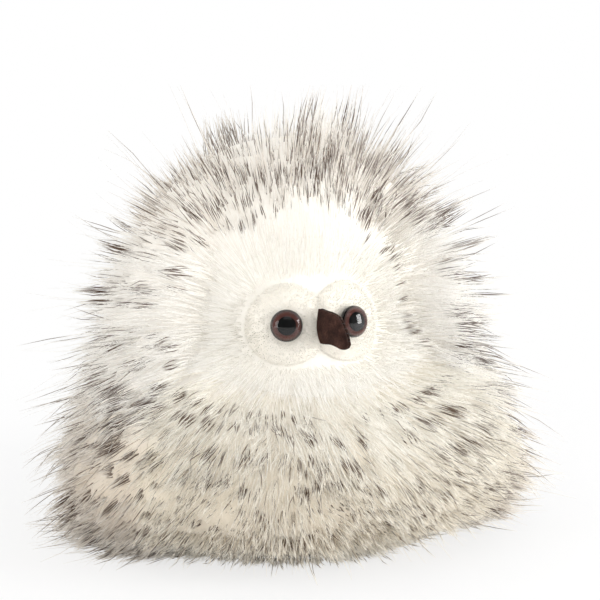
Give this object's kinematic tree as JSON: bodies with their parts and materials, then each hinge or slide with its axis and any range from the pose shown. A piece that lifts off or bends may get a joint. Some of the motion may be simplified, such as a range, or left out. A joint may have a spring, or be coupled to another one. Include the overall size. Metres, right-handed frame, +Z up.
{
  "type": "plush owl",
  "caption": "Round sitting plush owl in long dark-tipped cream fur, with a white face, glossy brown eyes and a small dark hooked beak.",
  "frame": {"origin": "centre of the underside, on the floor that the owl stands on", "axes": "+Z up, -Y the way the owl faces, +X towards the owl's left"},
  "size_m": [0.2284, 0.2134, 0.2029],
  "materials": {
    "white_fur": "long pile, cream-white, matt",
    "dark_tipped_fur": "long pile, cream roots and dark brown tips, matt",
    "belly_fur": "long pile, cream with rows of dark brown tips, matt",
    "sheared_plush": "short sheared pile, peach-cream",
    "suedette": "brushed dark brown suedette",
    "acrylic": "polished clear acrylic over a brown iris",
    "black_nylon": "moulded black nylon",
    "polyethylene": "moulded natural polyethylene",
    "polyester_fibre": "loose polyester fibre",
    "base_cloth": "short cream pile",
    "pouch_cotton": "plain woven cotton",
    "pellet_fill": "translucent polypropylene pellets"
  },
  "bodies": {
    "plush": {"face_panel": "white_fur", "crown_panel": "dark_tipped_fur", "head_back_left": "dark_tipped_fur", "head_back_right": "dark_tipped_fur", "belly_panel": "belly_fur", "body_left": "dark_tipped_fur", "body_right": "dark_tipped_fur", "eye_disc_left": "sheared_plush", "eye_disc_right": "sheared_plush", "beak_left_panel": "suedette", "beak_right_panel": "suedette", "beak_filling": "polyester_fibre", "head_filling": "polyester_fibre", "body_filling": "polyester_fibre", "pouch_bottom": "pouch_cotton", "pouch_top": "pouch_cotton", "pellets": "pellet_fill", "base_panel": "base_cloth"},
    "eye_left": {"eye_lens_left": "acrylic", "eye_post_left": "black_nylon", "eye_washer_left": "polyethylene"},
    "eye_right": {"eye_lens_right": "acrylic", "eye_post_right": "black_nylon", "eye_washer_right": "polyethylene"}
  },
  "joints": [
    {"name": "eye_left_turn", "type": "hinge", "parent": "plush", "child": "eye_left", "pos_m": [0.01625, -0.04514, 0.10859], "axis": [0.3014, -0.9456, 0.1224], "continuous": true},
    {"name": "eye_right_turn", "type": "hinge", "parent": "plush", "child": "eye_right", "pos_m": [-0.01625, -0.04514, 0.10859], "axis": [-0.3014, -0.9456, 0.1224], "continuous": true}
  ]
}
